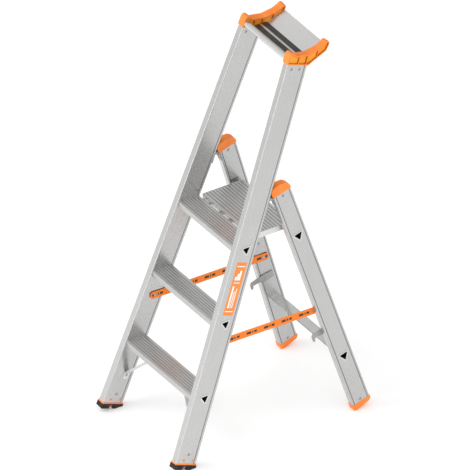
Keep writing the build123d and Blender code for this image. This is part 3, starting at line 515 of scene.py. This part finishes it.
def build_strap(side, sign):
    """A woven band between its rivets, with rounded ends and a dark dashed pattern."""
    start = Vector((0, *side_place(FRONT_LEAN, FRONT_FOOT, *STRAP_FRONT)))
    end = Vector((0, *side_place(REAR_LEAN, REAR_FOOT, *STRAP_REAR)))
    run = (end - start).normalized()
    length = (end - start).length + 2 * STRAP_OVERRUN
    grid = bmesh.new()
    front = strap_sheet(grid, sign * STRAP_X + STRAP_HALF_THICKNESS, start, run, length)
    back = strap_sheet(grid, sign * STRAP_X - STRAP_HALF_THICKNESS, start, run, length)
    fill_sheet(grid, front, length, 1)
    fill_sheet(grid, back, length, -1)
    close_rim(grid, front, back)
    bmesh.ops.recalc_face_normals(grid, faces=grid.faces)
    strap = add_mesh(f"{side}_woven_strap", grid, (webbing, webbing_mark))
    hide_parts(f"{side}_strap")
    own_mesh(strap)


for side, sign in (("left", -1), ("right", 1)):
    build_strap(side, sign)

# ---------------------------------------------------------------- marks on the label

LABEL_FACE = FRONT_HALF + 0.32  # just proud of the film
LABEL_MARKS = (  # rectangles: behind the front face, and up the stile
    ((24.0, 54.5), (705.0, 708.0)),
    ((24.0, 54.5), (553.0, 556.0)),
    ((28.0, 34.0), (566.0, 640.0)),
    ((38.0, 41.0), (566.0, 622.0)),
    ((44.5, 47.5), (566.0, 632.0)),
    ((27.0, 51.0), (650.0, 652.5)),
    ((27.0, 34.0), (660.0, 672.0)),
    ((34.0, 41.0), (660.0, 682.0)),
    ((41.0, 48.0), (660.0, 692.0)),
)


def build_label_marks():
    """Plain bars and a small flight of steps, printed on the label."""
    outward, rearward, up = stile_axes(FRONT_LEAN)
    grid = bmesh.new()
    for (front, rear), (bottom, top) in LABEL_MARKS:
        corners = ((front, bottom), (rear, bottom), (rear, top), (front, top))
        spots = [FRONT_FOOT + outward * LABEL_FACE + rearward * a + up * b for a, b in corners]
        grid.faces.new([grid.verts.new(spot * MM) for spot in spots])
    marks = add_mesh("label_marks", grid, (label_ink,))


build_label_marks()

# ---------------------------------------------------------------- stage, light and camera


def area_light(name, place, size, power):
    """A soft rectangular light that points at the ladder's middle."""
    data = bpy.data.lights.new(name, "AREA")
    data.shape = "RECTANGLE"
    data.size, data.size_y = size
    data.energy = power
    light = bpy.data.objects.new(name, data)
    light.location = place
    light.rotation_euler = (Vector(LIT_POINT) - Vector(place)).to_track_quat("-Z", "Y").to_euler()
    bpy.context.scene.collection.objects.link(light)


def build_stage():
    """A white paper floor that glows a little, so that it stays plain in the picture."""
    mesh = bpy.data.meshes.new("floor")
    signs = ((-1, -1), (1, -1), (1, 1), (-1, 1))
    corners = [(x * FLOOR_REACH, y * FLOOR_REACH, 0) for x, y in signs]
    mesh.from_pydata(corners, [], [(0, 1, 2, 3)])
    floor = bpy.data.objects.new("floor", mesh)
    bpy.context.scene.collection.objects.link(floor)
    shader = Shader("floor_paper")
    shader.set(Specular_IOR_Level=0.1)
    tone = shader.noise(shader.place, 3.0, 2.0)
    shader.colour(shader.ramp(tone, (0.93, 0.93, 0.93), (0.95, 0.95, 0.95), (0.3, 0.7)))
    shader.roughness(shader.spread(tone, 0.85, 0.95))
    shader.set(Emission_Color=(1, 1, 1, 1), Emission_Strength=0.12)
    mesh.materials.append(shader.material)


def build_light():
    """A soft white studio that is brighter on the camera's side and overhead."""
    world = bpy.data.worlds.new("studio")
    world.use_nodes = True
    tree = world.node_tree
    background = tree.nodes["Background"]
    direction = tree.nodes.new("ShaderNodeTexCoord").outputs["Generated"]
    facing = tree.nodes.new("ShaderNodeVectorMath")
    facing.operation = "DOT_PRODUCT"
    facing.inputs[1].default_value = BRIGHTEST.normalized()
    tree.links.new(direction, facing.inputs[0])
    brightness = tree.nodes.new("ShaderNodeMapRange")
    brightness.inputs["From Min"].default_value = FACING_DARK
    brightness.inputs["From Max"].default_value = FACING_BRIGHT
    brightness.inputs["To Min"].default_value = WORLD_DARK
    brightness.inputs["To Max"].default_value = WORLD_BRIGHT
    tree.links.new(facing.outputs["Value"], brightness.inputs["Value"])
    tree.links.new(brightness.outputs["Result"], background.inputs["Strength"])
    background.inputs["Color"].default_value = (1, 1, 1, 1)
    bpy.context.scene.world = world
    for light in LIGHTS:
        area_light(*light)


def build_camera():
    """An orthographic camera that sees what the reference view sees."""
    back = Vector((
        sin(VIEW_AZIMUTH) * cos(VIEW_ELEVATION),
        -cos(VIEW_AZIMUTH) * cos(VIEW_ELEVATION),
        sin(VIEW_ELEVATION),
    ))
    data = bpy.data.cameras.new("camera")
    data.type = "ORTHO"
    data.ortho_scale = VIEW_HEIGHT
    data.clip_end = 50
    camera = bpy.data.objects.new("camera", data)
    camera.location = VIEW_AIM + back * VIEW_DISTANCE
    camera.rotation_euler = (-back).to_track_quat("-Z", "Y").to_euler()
    bpy.context.scene.collection.objects.link(camera)
    bpy.context.scene.camera = camera


build_camera()
build_stage()
build_light()
bpy.context.scene.view_settings.view_transform = "Standard"
